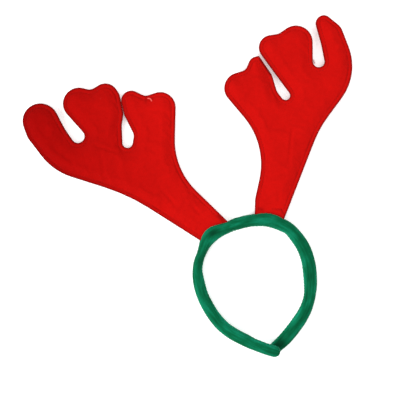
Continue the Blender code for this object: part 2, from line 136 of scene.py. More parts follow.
antlers = {
    "left": {
        "side": -1, "seat": (-0.026294, 0.000858), "lean": math.radians(35.0),
        "length": 0.220, "width": 0.1303,
        # name, along, across, radius, side: 1 a lobe, -1 a notch, radius 0 a corner
        "outline": (
            ("base outer", 0.006, 0.080, 0.000, 1),
            ("stem outer", 0.170, 0.974, 0.8625, -1),
            ("outer tine back", 0.752, -0.014, 0.273, 1),
            ("outer tine shoulder", 0.884, 0.158, 0.076, 1),
            ("outer tine tip", 0.916, 0.133, 0.081, 1),
            ("outer tine inside", 0.675, -0.300, 0.412, -1),
            ("outer gap", 0.743, 0.077, 0.030, -1),
            ("middle tine top", 0.834, -0.041, 0.073, 1),
            ("middle notch", 0.868, -0.152, 0.042, -1),
            ("middle tine side", 0.764, -0.143, 0.060, 1),
            ("middle tine edge", 0.742, -0.155, 0.042, 1),
            ("middle tine elbow", 0.6715, -0.1201, 0.0255, 1),
            ("inner gap top", 0.609, -0.100, 0.017, -1),
            ("inner gap", 0.552, -0.047, 0.024, -1),
            ("inner gap side", 0.580, -0.062, 0.040, -1),
            ("inner tine beak", 0.6385, -0.147, 0.0145, 1),
            ("inner tine top", 0.661, -0.2045, 0.0465, 1),
            ("inner notch", 0.647, -0.291, 0.034, -1),
            ("inner tine side", 0.540, -0.266, 0.070, 1),
            ("stem inner", 0.150, -0.398, 0.318, -1),
            ("base inner", -0.027, -0.065, 0.000, 1),
        ),
        # felt that bends up off the floor: along, across, reach, rise
        "waves": ((0.97, 0.15, 0.13, 0.90), (0.53, -0.31, 0.10, 0.70),
                  (0.40, 0.17, 0.12, 0.40), (0.88, -0.05, 0.09, 0.35)),
        # creases: along, across, to along, to across, depth in shares of the wadding
        "creases": ((0.045, 0.040, 0.120, 0.050, 0.16), (0.040, 0.000, 0.150, -0.020, 0.20),
                    (0.030, 0.020, 0.095, 0.012, 0.14), (0.050, -0.040, 0.110, -0.055, 0.12),
                    (0.200, 0.030, 0.330, 0.010, 0.10), (0.560, 0.020, 0.660, 0.060, 0.10)),
        # small steps of the edge: along, across, reach, depth in mm
        "nicks": ((0.105, 0.083, 0.012, 0.55),),
        "crossSeam": (),
        # painted shade where tines touch, along a folded edge and at the base beside the velour:
        # along, across, to along, to across, reach in mm, amount
        "shadeLines": ((0.700, -0.166, 0.645, -0.128, 1.9, 0.14),
                  (0.020, -0.058, -0.010, -0.052, 2.0, 0.40),
                  (0.012, 0.020, 0.000, -0.020, 1.6, 0.22),
                  (0.625, -0.262, 0.602, -0.240, 0.9, 0.25)),
    },
    "right": {
        "side": 1, "seat": (0.030504, 0.001667), "lean": math.radians(24.0),
        "length": 0.204, "width": 0.1234,
        "outline": (
            ("base outer", -0.015, 0.078, 0.000, 1),
            ("stem outer", 0.266, 0.6945, 0.539, -1),
            ("outer tine back", 0.733, 0.025, 0.270, 1),
            ("outer tine shoulder", 0.907, 0.160, 0.066, 1),
            ("outer tine tip", 0.961, 0.121, 0.0385, 1),
            ("outer tine inside", 0.706, -0.2345, 0.391, -1),
            ("outer gap", 0.772, 0.127, 0.029, -1),
            ("middle tine top", 0.847, 0.001, 0.083, 1),
            ("middle notch", 0.917, -0.113, 0.047, -1),
            ("middle tine side", 0.804, -0.115, 0.060, 1),
            ("inner gap", 0.583, -0.007, 0.0225, -1),
            ("inner gap side", 0.643, 0.013, 0.080, -1),
            ("inner tine edge", 0.665, -0.099, 0.011, 1),
            ("inner tine beak", 0.744, -0.170, 0.008, 1),
            ("inner tine top", 0.709, -0.173, 0.039, 1),
            ("inner notch", 0.697, -0.251, 0.034, -1),
            ("inner tine side", 0.582, -0.2375, 0.075, 1),
            ("stem inner", 0.178, -0.4225, 0.353, -1),
            ("base bulge", 0.060, -0.036, 0.040, 1),
            ("base inner", -0.009, -0.066, 0.000, 1),
        ),
        "waves": ((0.70, 0.29, 0.20, 1.30), (0.98, 0.14, 0.12, 0.60),
                  (0.58, -0.28, 0.13, 1.10), (0.80, -0.15, 0.10, 0.45)),
        "creases": ((0.030, 0.045, 0.105, 0.035, 0.22), (0.060, -0.020, 0.085, 0.020, 0.12),
                    (0.240, 0.060, 0.420, 0.050, 0.12), (0.480, 0.020, 0.560, 0.060, 0.12)),
        "nicks": (),
        "crossSeam": ((0.021, 0.004), (0.027, 0.056), (-0.004, 0.080)),
        "shadeLines": ((0.734, -0.158, 0.672, -0.098, 1.3, 0.50),
                  (0.014, -0.050, 0.010, -0.034, 1.8, 0.34),
                  (0.020, 0.020, 0.026, 0.056, 0.7, 0.30),
                  (0.026, 0.058, 0.000, 0.080, 0.7, 0.34)),
    },
}


# Small helpers
def smooth(share):
    share = np.clip(share, 0.0, 1.0)
    return share * share * (3 - 2 * share)


def makeActive(piece):
    bpy.ops.object.select_all(action="DESELECT")
    piece.select_set(True)
    bpy.context.view_layer.objects.active = piece


def applyAll(piece):
    makeActive(piece)
    for modifier in list(piece.modifiers):
        bpy.ops.object.modifier_apply(modifier=modifier.name)


def places(piece):
    flat = np.zeros(len(piece.data.vertices) * 3)
    piece.data.vertices.foreach_get("co", flat)
    return flat.reshape(-1, 3)


def setPlaces(piece, points):
    piece.data.vertices.foreach_set("co", np.asarray(points, float).ravel())
    piece.data.update()


def normalsOf(piece):
    flat = np.zeros(len(piece.data.vertices) * 3)
    piece.data.vertex_normals.foreach_get("vector", flat)
    return flat.reshape(-1, 3)


def addAttribute(piece, name, values, kind="FLOAT"):
    attribute = piece.data.attributes.new(name, kind, "POINT")
    field = "vector" if kind == "FLOAT_VECTOR" else "value"
    attribute.data.foreach_set(field, np.asarray(values, np.float32).ravel())


def lengthsAlong(points):
    steps = np.linalg.norm(np.diff(points, axis=0), axis=1)
    return np.concatenate([[0], np.cumsum(steps)])


def surfaceOf(piece):
    return BVHTree.FromPolygons([tuple(p) for p in places(piece)],
                                [list(face.vertices) for face in piece.data.polygons])


def newPiece(name, mesh, material):
    piece = bpy.data.objects.new(name, mesh)
    scene.collection.objects.link(piece)
    mesh.materials.clear()
    mesh.materials.append(material)
    return piece


def runCloth(piece, pinned, pressure, cap, looseness=0.0, bending=0.5):
    before = places(piece)
    group = piece.vertex_groups.new(name="pinned")
    for weight in (1.0, 0.6, 0.3):
        chosen = np.nonzero(np.isclose(pinned, weight))[0].tolist()
        if chosen:
            group.add(chosen, weight, "REPLACE")
    cloth = piece.modifiers.new("cloth", "CLOTH")
    cloth.settings.quality = clothRun["quality"]
    cloth.settings.mass = clothRun["mass"]
    cloth.settings.tension_stiffness = clothRun["stiffness"]
    cloth.settings.compression_stiffness = clothRun["stiffness"]
    cloth.settings.bending_stiffness = bending
    cloth.settings.shrink_min = -looseness
    cloth.settings.vertex_group_mass = group.name
    cloth.settings.use_pressure = True
    cloth.settings.uniform_pressure_force = pressure
    cloth.settings.effector_weights.gravity = 0.0
    cloth.point_cache.frame_start, cloth.point_cache.frame_end = 1, clothRun["frames"]
    for frameNumber in range(1, clothRun["frames"] + 1):
        scene.frame_set(frameNumber)
    makeActive(piece)
    bpy.ops.object.modifier_apply(modifier=cloth.name)
    scene.frame_set(1)
    after = places(piece)
    moved = after - before
    far = np.linalg.norm(moved, axis=1)
    print("  cloth moved at most", round(float(far.max()) * 1000, 2), "mm, on average",
          round(float(far.mean()) * 1000, 2), "mm")
    moved *= np.minimum(1.0, cap / np.maximum(far, 1e-9))[:, None]
    setPlaces(piece, before + moved)
    piece.vertex_groups.clear()


# Materials
def addNode(tree, kind, **values):
    node = tree.nodes.new(kind)
    for name, value in values.items():
        setattr(node, name, value)
    return node


def mixColours(tree, share, first, second, blend="MIX"):
    node = addNode(tree, "ShaderNodeMix", data_type="RGBA", blend_type=blend)
    for socket, value in ((node.inputs[0], share), (node.inputs[6], first),
                          (node.inputs[7], second)):
        if isinstance(value, bpy.types.NodeSocket):
            tree.links.new(value, socket)
        else:
            socket.default_value = value
    return node.outputs[2]


def compute(tree, operation, first, second=0.0, third=0.0):
    node = addNode(tree, "ShaderNodeMath", operation=operation)
    for socket, value in zip(node.inputs, (first, second, third)):
        if isinstance(value, bpy.types.NodeSocket):
            tree.links.new(value, socket)
        else:
            socket.default_value = value
    return node.outputs[0]


def noiseAt(tree, vector, scale, detail=4.0, roughness=0.6, stretch=(1, 1, 1)):
    if stretch != (1, 1, 1):
        mapping = addNode(tree, "ShaderNodeMapping")
        mapping.inputs["Scale"].default_value = stretch
        tree.links.new(vector, mapping.inputs["Vector"])
        vector = mapping.outputs[0]
    node = addNode(tree, "ShaderNodeTexNoise")
    node.inputs["Scale"].default_value = scale
    node.inputs["Detail"].default_value = detail
    node.inputs["Roughness"].default_value = roughness
    tree.links.new(vector, node.inputs["Vector"])
    return node.outputs["Fac"]


def ramp(tree, value, stops):
    # each stop is a place and a colour
    node = addNode(tree, "ShaderNodeValToRGB")
    tree.links.new(value, node.inputs[0])
    elements = node.color_ramp.elements
    while len(elements) < len(stops):
        elements.new(0.5)
    for element, (where, colour) in zip(elements, stops):
        element.position = where
        element.color = (*colour, 1)
    return node.outputs[0]


def addBump(tree, shader, height, strength, distance):
    bump = addNode(tree, "ShaderNodeBump")
    bump.inputs["Strength"].default_value = strength
    bump.inputs["Distance"].default_value = distance
    tree.links.new(height, bump.inputs["Height"])
    tree.links.new(bump.outputs[0], shader.inputs["Normal"])


def newMaterial(name, roughness, sheen, sheenRoughness, sheenTint, specular):
    material = bpy.data.materials.new(name)
    material.use_nodes = True
    shader = material.node_tree.nodes["Principled BSDF"]
    shader.inputs["Roughness"].default_value = roughness
    shader.inputs["Sheen Weight"].default_value = sheen
    shader.inputs["Sheen Roughness"].default_value = sheenRoughness
    shader.inputs["Sheen Tint"].default_value = (*sheenTint, 1)
    shader.inputs["Specular IOR Level"].default_value = specular
    return material, material.node_tree, shader


def feltMaterial():
    material, tree, shader = newMaterial(
        "redFelt", roughness=0.95, sheen=0.06, sheenRoughness=0.5, sheenTint=(1.0, 0.15, 0.12),
        specular=0.05)
    where = addNode(tree, "ShaderNodeTexCoord").outputs["Object"]
    edge = addNode(tree, "ShaderNodeAttribute", attribute_name="edgeDistance").outputs["Fac"]
    # darker towards the left tines
    split = addNode(tree, "ShaderNodeSeparateXYZ")
    tree.links.new(where, split.inputs[0])
    leftness = addNode(tree, "ShaderNodeMapRange")
    leftness.inputs["From Min"].default_value = -0.03
    leftness.inputs["From Max"].default_value = -0.185
    tree.links.new(split.outputs["X"], leftness.inputs["Value"])
    feltRed = mixColours(tree, leftness.outputs[0], (0.440, 0.0028, 0.0017, 1),
                     (0.245, 0.0003, 0.0001, 1))
    # felted mottling, from broad to fibre size
    broad = noiseAt(tree, where, scale=45, detail=3, roughness=0.5)
    middle = noiseAt(tree, where, scale=260, detail=4, roughness=0.65)
    fibresAlong, fibresAcross = (
        noiseAt(tree, where, scale=900, detail=5, roughness=0.7, stretch=stretch)
        for stretch in ((1.0, 0.22, 1.0), (0.22, 1.0, 1.0)))
    fine = noiseAt(tree, where, scale=2200, detail=3, roughness=0.7)
    fibres = compute(tree, "MAXIMUM", fibresAlong, fibresAcross)
    shade = compute(tree, "MULTIPLY_ADD", broad, 0.22, 0.89)
    shade = compute(tree, "MULTIPLY_ADD", middle, 0.20, shade)
    shade = compute(tree, "MULTIPLY_ADD", fibres, 0.34, shade)
    shade = compute(tree, "SUBTRACT", shade, 0.29)
    # painted shade: darker at the rim, where the felt edge turns away from the light, and a
    # little along the seam groove, by distance from the edge in cm
    paintedRimShade = ((0.00, 0.40), (0.06, 0.50), (0.13, 0.74), (0.21, 0.92), (0.33, 1.0),
                 (0.39, 0.96), (0.45, 1.0), (0.60, 1.0))
    rim = ramp(tree, compute(tree, "MULTIPLY", edge, 100.0),
               [(away, (grey, grey, grey)) for away, grey in paintedRimShade])
    shade = compute(tree, "MULTIPLY", shade, rim)
    # painted shade from the given lines darkens the felt
    paintedShade = addNode(tree, "ShaderNodeAttribute", attribute_name="paintedShade").outputs["Fac"]
    shade = compute(tree, "MULTIPLY", shade, compute(tree, "SUBTRACT", 1.0, paintedShade))
    colour = mixColours(tree, 1.0, feltRed, shade, "MULTIPLY")
    tree.links.new(colour, shader.inputs["Base Color"])
    height = compute(tree, "MULTIPLY_ADD", middle, 0.6, compute(tree, "MULTIPLY", fibres, 1.0))
    height = compute(tree, "MULTIPLY_ADD", fine, 0.5, height)
    addBump(tree, shader, height, strength=0.55, distance=0.0004)
    return material


def velourMaterial():
    material, tree, shader = newMaterial(
        "greenVelour", roughness=0.90, sheen=0.80, sheenRoughness=0.16,
        sheenTint=(0.55, 0.85, 0.72), specular=0.05)
    where = addNode(tree, "ShaderNodeTexCoord").outputs["Object"]
    tube = addNode(tree, "ShaderNodeAttribute", attribute_name="tube").outputs["Vector"]
    pileAndShade = addNode(tree, "ShaderNodeAttribute", attribute_name="pileAndShade").outputs["Fac"]
    streaks = noiseAt(tree, tube, scale=320, detail=4, roughness=0.6, stretch=(0.12, 1.0, 1.0))
    patches = noiseAt(tree, tube, scale=75, detail=3, roughness=0.55, stretch=(0.7, 1.0, 1.0))
    pile = noiseAt(tree, where, scale=1500, detail=4, roughness=0.75)
    fine = noiseAt(tree, where, scale=3600, detail=2, roughness=0.7)
    level = compute(tree, "MULTIPLY_ADD", streaks, 1.3, -0.65)
    level = compute(tree, "MULTIPLY_ADD", patches, 0.8, level)
    level = compute(tree, "MULTIPLY_ADD", pile, 0.45, level)
    level = compute(tree, "SUBTRACT", level, 0.05)
    # adds the painted shade, painted shadow and pile patches of the band's spots
    level = compute(tree, "ADD", level, pileAndShade)
    # painted sheen: the sides of the tube are made lighter than its top, standing in for the
    # pile's sheen at grazing angles
    sides = addNode(tree, "ShaderNodeSeparateXYZ")
    tree.links.new(tube, sides.inputs[0])
    sideways = compute(tree, "ABSOLUTE", compute(tree, "MULTIPLY", sides.outputs["Y"], 166.7))
    level = compute(tree, "MULTIPLY_ADD", compute(tree, "POWER", sideways, 3.0), 0.26, level)
    level = compute(tree, "SUBTRACT", level, 0.06)
    colour = ramp(tree, level, ((0.10, (0.0004, 0.042, 0.016)),
                                (0.50, (0.0006, 0.094, 0.037)),
                                (0.95, (0.0040, 0.190, 0.100))))
    tree.links.new(colour, shader.inputs["Base Color"])
    height = compute(tree, "MULTIPLY_ADD", fine, 0.5, pile)
    height = compute(tree, "MULTIPLY_ADD", streaks, 0.8, height)
    addBump(tree, shader, height, strength=0.6, distance=0.0004)
    return material


def threadMaterial(name, colour):
    material, tree, shader = newMaterial(
        name, roughness=0.7, sheen=0.08, sheenRoughness=0.4, sheenTint=(1.0, 0.4, 0.35),
        specular=0.08)
    where = addNode(tree, "ShaderNodeTexCoord").outputs["Object"]
    twist = noiseAt(tree, where, scale=4000, detail=2, roughness=0.6)
    shade = compute(tree, "MULTIPLY_ADD", twist, 0.5, 0.75)
    tree.links.new(mixColours(tree, 1.0, (*colour, 1), shade, "MULTIPLY"),
                   shader.inputs["Base Color"])
    addBump(tree, shader, twist, strength=0.4, distance=0.0001)
    return material


redFelt = feltMaterial()
greenVelour = velourMaterial()
redThread = threadMaterial("redThread", (0.34, 0.002, 0.0015))
looseThread = threadMaterial("looseThread", (0.72, 0.10, 0.085))
wispFibre = threadMaterial("wispFibre", (0.60, 0.36, 0.36))
print("materials made")


# Band
def lineAt(rows, column, turn):
    turns = [row[0] for row in rows]
    values = [row[column] for row in rows]
    last = len(rows) - 1
    low = max([i for i in range(last) if turns[i] <= turn] or [0])

    def slope(i):
        a, b = max(i - 1, 0), min(i + 1, last)
        return (values[b] - values[a]) / (turns[b] - turns[a])

    span = turns[low + 1] - turns[low]
    t = (turn - turns[low]) / span
    return ((2 * t**3 - 3 * t**2 + 1) * values[low] + (t**3 - 2 * t**2 + t) * span * slope(low)
            + (3 * t**2 - 2 * t**3) * values[low + 1] + (t**3 - t**2) * span * slope(low + 1))


def bandStations(count=900):
    first, last = bandLine[0][0], bandLine[-1][0]
    turns = np.linspace(first, last, count)
    points = []
    for turn in turns:
        radius = band["loopRadius"] * lineAt(bandLine, 1, turn)
        taper = lineAt(bandLine, 2, turn)
        lift = max(0.0, lineAt(bandLine, 3, turn)) * (band["endHeight"] + band["clearance"])
        tall = band["height"] + (band["endHeight"] - band["height"]) * taper
        angle = turn * math.pi
        points.append((radius * math.sin(angle), radius * math.cos(angle) - band["loopRadius"],
                       lift + tall / 2 * 0.9))
    return turns, np.array(points)


def bandCover():
    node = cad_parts["band"]
    cover = newPiece("band_cover", node.data.copy(), greenVelour)
    makeActive(cover)
    bpy.ops.object.mode_set(mode="EDIT")
    bpy.ops.mesh.select_all(action="SELECT")
    bpy.ops.mesh.remove_doubles(threshold=1e-6)
    bpy.ops.transform.shrink_fatten(value=-band["shrink"])
    bpy.ops.object.mode_set(mode="OBJECT")
    remesh = cover.modifiers.new("even", "REMESH")
    remesh.mode = "VOXEL"
    remesh.voxel_size = band["voxel"]
    applyAll(cover)
    print("  cover has", len(cover.data.vertices), "points")

    # the antlers' slots stay where the CAD has them
    def nearSlots(points):
        near = np.zeros(len(points))
        for antler in antlers.values():
            local = toAntler(antler, points[:, :2])
            inside = ((np.abs(local[:, 0]) < slots["stillHalf"])
                      & (local[:, 1] > slots["stillFrom"]))
            level = np.abs(points[:, 2] - felt["midHeight"]) < slots["stillTall"]
            near = np.maximum(near, np.where(inside & level, 1.0, 0.0))
        return near

    points = places(cover)
    resting = np.where(points[:, 2] < band["restHeight"], 0.6, 0.0)
    pinned = np.maximum(nearSlots(points), resting)
    runCloth(cover, pinned, band["pressure"], band["cap"])
    points = places(cover)
    points[:, 2] = np.maximum(points[:, 2], 0.0)
    setPlaces(cover, points)
    finer = cover.modifiers.new("finer", "SUBSURF")
    finer.levels = finer.render_levels = 1
    applyAll(cover)

    # place of each point along and round the tube
    points, normals = places(cover), normalsOf(cover)
    turns, line = bandStations()
    tree = kdtree.KDTree(len(line))
    for i, station in enumerate(line):
        tree.insert((station[0], station[1], station[2] * 2.0), i)
    tree.balance()
    nearest = np.array([tree.find((p[0], p[1], p[2] * 2.0))[1] for p in points])
    heading = np.gradient(line[:, :2], axis=0)
    heading /= np.linalg.norm(heading, axis=1)[:, None]
    outward = np.stack([-heading[:, 1], heading[:, 0]], axis=1)
    run = lengthsAlong(line[:, :2])
    offset = points[:, :2] - line[nearest, :2]
    out = (offset * outward[nearest]).sum(1)
    ahead = (offset * heading[nearest]).sum(1)
    up = points[:, 2] - line[nearest, 2]
    around = np.arctan2(up, out)
    station = run[nearest] + ahead

    # seam on the inner side, with gathers, and soft lumps of the foam
    seamFacing = np.array([lineAt(seamLine, 1, t) for t in turns])[nearest] * 2 * math.pi
    away = (around - seamFacing + math.pi) % (2 * math.pi) - math.pi
    reach = away * band["tubeRadius"]
    groove = np.exp(-(reach / band["seamWidth"]) ** 2)
    ridge = np.exp(-((np.abs(reach) - band["ridgeAway"]) / band["ridgeWidth"]) ** 2)
    gathers = np.sin(station / band["gatherPitch"] * 2 * math.pi + 2.2 * np.sin(station * 160))
    beside = np.exp(-(reach / band["gatherReach"]) ** 2)
    press = (-band["seamDepth"] * groove + band["ridge"] * ridge
             + band["gather"] * gathers * beside * (1 - groove))

    def lumpsOf(along, shift, sideways):
        return np.array([noise.noise(Vector((s * along + shift, math.cos(a) * sideways,
                                             math.sin(a) * sideways)))
                         for s, a in zip(station, around)])

    lumps = lumpsOf(75, 0, 0.9)
    lumps += 0.5 * lumpsOf(190, 7, 2)
    press += band["lumps"] * lumps
    press *= 1 - nearSlots(points)
    points += normals * press[:, None]
    points[:, 2] = np.maximum(points[:, 2], 0.0)

    # the slots keep a little air round the felt
    room = felt["lip"] + slots["air"]
    for antler in antlers.values():
        local = toAntler(antler, points[:, :2])
        inside = (np.abs(local[:, 0]) < slots["openHalf"]) & (local[:, 1] > slots["openFrom"])
        level = points[:, 2] - felt["midHeight"]
        held = inside & (np.abs(level) < room) & (local[:, 1] > slotFloor(antler, local[:, 0]))
        points[held, 2] = felt["midHeight"] + np.where(level[held] >= 0, room, -room)
    setPlaces(cover, points)
    cover.data.shade_smooth()

    # painted shade and painted shadow at the antlers' bases and under the left end, lighter and
    # darker pile patches elsewhere
    pileAndShade = np.zeros(len(points))
    for name, x, y, longReach, wideReach, amount in velourTonesAndShade:
        spot = np.array((x, y)) / 1000
        i = int(np.argmin(np.linalg.norm(line[:, :2] - spot, axis=1)))
        shift = points[:, :2] - spot
        alongSpot = (shift * heading[i]).sum(1) / (longReach / 1000)
        acrossSpot = (shift * outward[i]).sum(1) / (wideReach / 1000)
        pileAndShade += amount * 0.45 * np.exp(-alongSpot**2 - acrossSpot**2) * smooth(
            (points[:, 2] - 0.004) / 0.003)
    addAttribute(cover, "pileAndShade", pileAndShade)
    ring = band["texturedRadius"]
    tube = np.stack([station, np.cos(around) * ring, np.sin(around) * ring], axis=1)
    addAttribute(cover, "tube", tube, "FLOAT_VECTOR")
    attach(cover, "root")
    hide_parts("band")


# Antlers
def antlerAxes(antler):
    lean, side = antler["lean"], antler["side"]
    return (np.array((side * math.cos(lean), -math.sin(lean))),
            np.array((side * math.sin(lean), math.cos(lean))))


def toAntler(antler, points):
    across, along = antlerAxes(antler)
    shift = np.asarray(points) - np.array(antler["seat"])
    return np.stack([shift @ across, shift @ along], axis=1)


def fromAntler(antler, points):
    across, along = antlerAxes(antler)
    points = np.asarray(points)
    return np.array(antler["seat"]) + points[:, :1] * across + points[:, 1:2] * along


def slotFloor(antler, across):
    rows = antler["outline"]
    outer, inner = rows[0], rows[-1]
    outerAt = (outer[2], outer[1])
    innerAt = (inner[2], inner[1])
    share = (across / antler["length"] - innerAt[0]) / (outerAt[0] - innerAt[0])
    edge = (innerAt[1] + (outerAt[1] - innerAt[1]) * share) * antler["length"]
    return edge - felt["baseTuck"] - slots["floorAir"]


def beltPoints(rows):
    headings = []
    for row, following in zip(rows, rows[1:] + rows[:1]):
        run = Vector((following[2] - row[2], following[1] - row[1]))
        growth = following[4] * following[3] - row[4] * row[3]
        straight = math.sqrt(max(run.length_squared - growth * growth, 0.0))
        headings.append(math.atan2(run.y, run.x) - math.atan2(growth, straight))
    points = []
    for i, (_, along, across, radius, side) in enumerate(rows):
        if radius == 0:
            points.append((across, along))
            continue
        sweep = (headings[i] - headings[i - 1]) * side % (2 * math.pi)
        pieces = max(2, math.ceil(sweep / felt["arcTurn"]))
        for k in range(pieces + 1):
            heading = headings[i - 1] + side * sweep * k / pieces
            points.append((across + side * radius * math.sin(heading),
                           along - side * radius * math.cos(heading)))
    return np.array(points)


def antlerOutline(antler):
    points = beltPoints(antler["outline"])
    points[:, 0] *= antler["width"] / np.ptp(points[:, 0])
    points[:, 1] *= antler["length"]
    points[[0, -1], 1] -= felt["baseTuck"] - felt["baseShort"]
    loop = np.vstack([points, points[:1]])
    lengths = lengthsAlong(loop)
    # even steps round the edge, then across the base
    whole, edge = lengths[-1], lengths[-2]
    count = round(edge / felt["edgeStep"])
    baseCount = round((whole - edge) / felt["edgeStep"])
    stations = np.concatenate([np.linspace(0, edge, count + 1),
                               np.linspace(edge, whole, baseCount + 1)[1:-1]])
    outline = np.stack([np.interp(stations, lengths, loop[:, k]) for k in (0, 1)], axis=1)
    for along, wide, reach, depth in antler["nicks"]:
        spot = np.array((wide, along)) * antler["length"]
        away = outline - spot
        reachOf = np.exp(-(np.linalg.norm(away, axis=1) / (reach * antler["length"])) ** 2)
        step = 0.5 + 0.5 * np.tanh(away[:, 1] / 0.0008)
        outline[:, 0] -= depth / 1000 * reachOf * step
    return outline


def edgeOf(points, outline):
    start, finish = outline, np.roll(outline, -1, axis=0)
    run = finish - start
    length2 = (run**2).sum(1)
    lengths = np.concatenate([[0], np.cumsum(np.sqrt(length2))])
    distance, station = np.zeros(len(points)), np.zeros(len(points))
    for low in range(0, len(points), 1500):
        some = points[low:low + 1500]
        shift = some[:, None, :] - start[None]
        share = np.clip((shift * run[None]).sum(2) / length2, 0, 1)
        gap = np.linalg.norm(shift - share[..., None] * run[None], axis=2)
        best = gap.argmin(1)
        rows = np.arange(len(some))
        distance[low:low + 1500] = gap[rows, best]
        station[low:low + 1500] = lengths[best] + share[rows, best] * np.sqrt(length2[best])
    return distance, station


def insideOf(points, outline):
    inside = np.zeros(len(points), bool)
    for a, b in zip(outline, np.roll(outline, -1, axis=0)):
        if a[1] == b[1]:
            continue
        crosses = (a[1] > points[:, 1]) != (b[1] > points[:, 1])
        where = a[0] + (points[:, 1] - a[1]) * (b[0] - a[0]) / (b[1] - a[1])
        inside ^= crosses & (points[:, 0] < where)
    return inside


def hexFill(outline, step, margin):
    low, high = outline.min(0), outline.max(0)
    rows = []
    for row, y in enumerate(np.arange(low[1], high[1], step * 0.866)):
        x = np.arange(low[0] + (row % 2) * step / 2, high[0], step)
        rows.append(np.stack([x, np.full(len(x), y)], axis=1))
    points = np.vstack(rows)
    points = points[insideOf(points, outline)]
    distance, _ = edgeOf(points, outline)
    return points[distance > margin]


def inwardOf(outline):
    ahead = np.roll(outline, -1, axis=0) - np.roll(outline, 1, axis=0)
    ahead /= np.linalg.norm(ahead, axis=1)[:, None]
    return np.stack([-ahead[:, 1], ahead[:, 0]], axis=1)


def insetRows(outline, insets):
    inward = inwardOf(outline)
    kept = []
    for inset in insets:
        points = outline + inward * inset
        distance, _ = edgeOf(points, outline)
        good = (distance > inset * 0.985) & insideOf(points, outline)
        apart = felt["edgeStep"] * 0.62
        nearby = {}
        for point in points[good]:
            cell = (int(point[0] // apart), int(point[1] // apart))
            near = [q for i in (-1, 0, 1) for j in (-1, 0, 1)
                    for q in nearby.get((cell[0] + i, cell[1] + j), ())]
            if all((point[0] - q[0]) ** 2 + (point[1] - q[1]) ** 2 > apart**2 for q in near):
                nearby.setdefault(cell, []).append(point)
                kept.append(point)
    return np.array(kept)


def middleHeight(antler, points):
    rest = felt["padded"] + felt["clearance"] / 2
    drop = smooth((points[:, 1] - felt["baseFlat"]) / (antler["length"] * 0.36))
    height = felt["midHeight"] + (rest - felt["midHeight"]) * drop
    for along, across, reach, rise in antler["waves"]:
        spot = np.array((across, along))
        away = np.linalg.norm(points / antler["length"] - spot, axis=1) / reach
        height += rise * felt["padded"] * np.exp(-away**2)
    return height


def antlerLine(antler, along, across, toAlong, toAcross):
    ends = np.array(((across, along), (toAcross, toAlong))) * antler["length"]
    return ends[0], ends[1]


def lineDistance(points, start, finish):
    # how far each point is from a line, and its share of the way along it
    run = finish - start
    share = np.clip((points - start) @ run / (run @ run), 0, 1)
    return np.linalg.norm(points - start - share[:, None] * run, axis=1), share


def feltThickness(antler, points, distance, station, seed):
    full = np.sin(math.pi / 2 * np.clip((distance - felt["seamInset"]) / felt["swell"], 0, 1))
    full = full * smooth((points[:, 1] - felt["baseFlat"]) / felt["baseSwell"])
    creased = np.zeros(len(points))
    for *ends, depth in antler["creases"]:
        away, share = lineDistance(points, *antlerLine(antler, *ends))
        fade = np.sin(math.pi * np.clip(share * 0.86 + 0.07, 0, 1)) ** 0.6
        wide = felt["creaseWidth"]
        valley = np.exp(-(away / wide) ** 2)
        shoulder = np.exp(-((away - 2.2 * wide) / (1.4 * wide)) ** 2)
        creased += depth * fade * (1.5 * valley - 0.5 * shoulder)
    thick = felt["lip"] + (felt["padded"] * (1 - creased * 0.8) - felt["lip"]) * full
    # top stitching presses a groove, the rim stands a little proud of it
    seam = np.exp(-((distance - felt["seamInset"]) / felt["grooveWidth"]) ** 2)
    for start, finish in zip(antler["crossSeam"], antler["crossSeam"][1:]):
        away, _ = lineDistance(points, *antlerLine(antler, *start, *finish))
        seam = np.maximum(seam, 1.4 * np.exp(-(away / felt["grooveWidth"]) ** 2))
    seam = seam * (points[:, 1] > 0.001)
    rim = np.exp(-((distance - felt["rimAway"]) / felt["rimWidth"]) ** 2)
    wave = (np.sin(station / 0.0062 + 1.7 * np.sin(station * 61 + seed))
            + 0.6 * np.sin(station / 0.0031 + 2.1 * np.sin(station * 97 + 2 * seed)))
    beside = np.exp(-((distance - felt["seamInset"] - 0.0012) / felt["puckerReach"]) ** 2)
    offBase = smooth((points[:, 1] - 0.004) / 0.01)
    thick = thick - felt["grooveDepth"] * seam + felt["rimLift"] * rim
    thick += felt["pucker"] * wave * beside * (1 - seam) * smooth(distance / 0.003) * offBase
    soft = np.array([noise.noise(Vector((x * 70 + seed, y * 70, seed)))
                     + 0.5 * noise.noise(Vector((x * 170, y * 170 + seed, seed)))
                     for x, y in points])
    thick += felt["lumps"] * soft * smooth(distance / 0.004) * offBase
    thick -= felt["rimRound"] * np.clip(1 - distance / felt["insets"][0], 0, 1)
    return np.maximum(thick, felt["thinnest"])


def flatMesh(outline, *inside):
    # triangles between the outline and the points inside it
    points = [Vector(p) for p in np.vstack([outline, *inside])]
    cut = geometry.delaunay_2d_cdt(points, [], [list(range(len(outline)))], 1, 1e-7)
    return np.array([tuple(p) for p in cut[0]]), cut[2]


